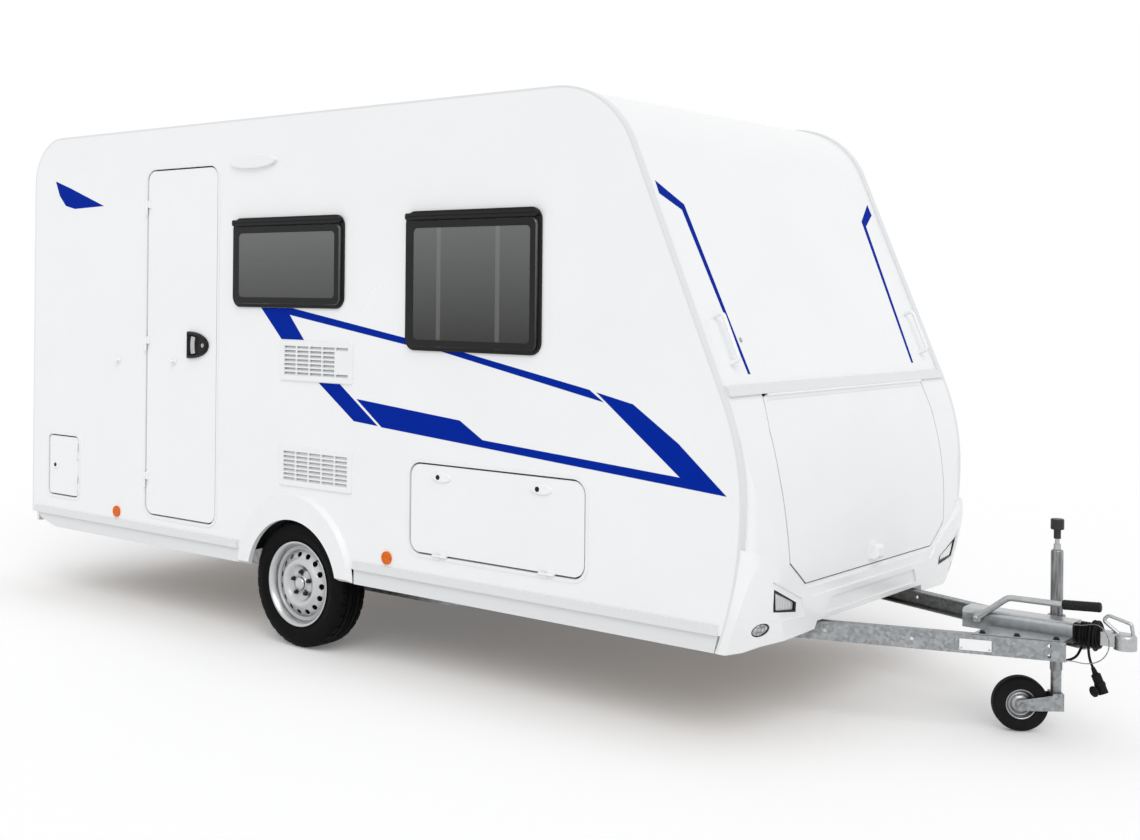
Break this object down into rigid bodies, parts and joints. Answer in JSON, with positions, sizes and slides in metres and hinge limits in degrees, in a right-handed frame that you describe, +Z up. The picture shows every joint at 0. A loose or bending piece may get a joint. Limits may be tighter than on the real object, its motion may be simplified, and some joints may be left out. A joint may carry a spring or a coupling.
{
  "type": "travel caravan",
  "caption": "Single-axle touring caravan with a rounded white body, hinged entrance door, side flap, rear hatch and front locker lid, drawbar with ball coupling and swivelling nose wheel.",
  "frame": {"origin": "on the ground under the middle of the bounding box", "axes": "+X forward to the coupling, +Y to the left, +Z up"},
  "size_m": [5.908, 2.128, 2.657],
  "materials": {
    "white_panel": "gloss",
    "white_moulding": "gloss",
    "aluminium_trim": "satin",
    "plywood": "matte",
    "black_plastic": "matte",
    "acrylic": "gloss",
    "grey_plastic": "matte",
    "amber_lens": "gloss",
    "clear_lens": "gloss",
    "red_lens": "gloss",
    "galvanised_steel": "satin",
    "cast_steel": "satin",
    "wheel_steel": "satin",
    "tyre_rubber": "matte",
    "solid_rubber": "matte",
    "lead_sheath": "matte",
    "wire_rope": "satin"
  },
  "bodies": {
    "caravan": {"right_wall": "white_panel", "left_wall": "white_panel", "roof": "white_panel", "rear_wall": "white_panel", "front_upper": "white_panel", "front_lower": "white_moulding", "bumper": "white_moulding", "arch_trims": "white_moulding", "door_frame": "white_moulding", "locker_frame": "white_moulding", "hatch_frame": "white_moulding", "vents": "white_moulding", "awning_light": "white_moulding", "roof_light": "white_moulding", "rear_panel": "white_moulding", "edge_trims": "aluminium_trim", "front_rail": "aluminium_trim", "lower_rails": "aluminium_trim", "skirts": "aluminium_trim", "floor": "plywood", "locker_bulkhead": "plywood", "window_frames": "black_plastic", "wheel_boxes": "black_plastic", "leg_crank": "black_plastic", "window_panes": "acrylic", "grab_handles": "grey_plastic", "reflectors": "amber_lens", "front_lamps": "clear_lens", "low_lamps": "clear_lens", "rear_lamps": "red_lens", "chassis_rails": "galvanised_steel", "cross_members": "galvanised_steel", "axle": "galvanised_steel", "corner_steadies": "galvanised_steel", "drawbar_beams": "galvanised_steel", "overrun_housing": "galvanised_steel", "leg_clamp": "galvanised_steel", "leg_tube": "galvanised_steel", "coupling_head": "cast_steel", "handbrake": "cast_steel", "bellows": "solid_rubber", "lead": "lead_sheath", "lead_coil": "lead_sheath", "lead_plug": "lead_sheath", "breakaway_cable": "wire_rope"},
    "right_wheel": {"right_rim": "wheel_steel", "right_tyre": "tyre_rubber"},
    "left_wheel": {"left_rim": "wheel_steel", "left_tyre": "tyre_rubber"},
    "entrance_door": {"entrance_door": "white_panel", "door_handle": "black_plastic"},
    "side_flap": {"locker_flap": "white_panel"},
    "rear_hatch": {"service_hatch": "white_panel"},
    "front_lid": {"locker_lid": "white_moulding"},
    "nose_fork": {"leg_fork": "galvanised_steel"},
    "nose_wheel": {"nose_rim": "wheel_steel", "nose_tyre": "solid_rubber"}
  },
  "joints": [
    {"name": "right_wheel_spin", "type": "hinge", "parent": "caravan", "child": "right_wheel", "pos_m": [-0.646, -0.9275, 0.311], "axis": [0, 1, 0], "continuous": true},
    {"name": "left_wheel_spin", "type": "hinge", "parent": "caravan", "child": "left_wheel", "pos_m": [-0.646, 0.9275, 0.311], "axis": [0, 1, 0], "continuous": true},
    {"name": "nose_swivel", "type": "hinge", "parent": "caravan", "child": "nose_fork", "pos_m": [2.617, 0.102, 0.3], "axis": [0, 0, 1], "continuous": true},
    {"name": "nose_wheel_spin", "type": "hinge", "parent": "nose_fork", "child": "nose_wheel", "pos_m": [2.50094, 0.02371, 0.11], "axis": [-0.5592, 0.829, 0], "continuous": true},
    {"name": "door_hinge", "type": "hinge", "parent": "caravan", "child": "entrance_door", "pos_m": [-1.8265, -1.048, 1.45], "axis": [0, 0, -1], "range_deg": [0, 170]},
    {"name": "flap_hinge", "type": "hinge", "parent": "caravan", "child": "side_flap", "pos_m": [0.6155, -1.048, 0.5685], "axis": [1, 0, 0], "range_deg": [0, 160]},
    {"name": "hatch_hinge", "type": "hinge", "parent": "caravan", "child": "rear_hatch", "pos_m": [-2.4515, -1.048, 0.73], "axis": [0, 0, 1], "range_deg": [0, 95]},
    {"name": "lid_hinge", "type": "hinge", "parent": "caravan", "child": "front_lid", "pos_m": [1.76255, 0, 1.346], "axis": [0, -1, 0], "range_deg": [0, 75]}
  ]
}
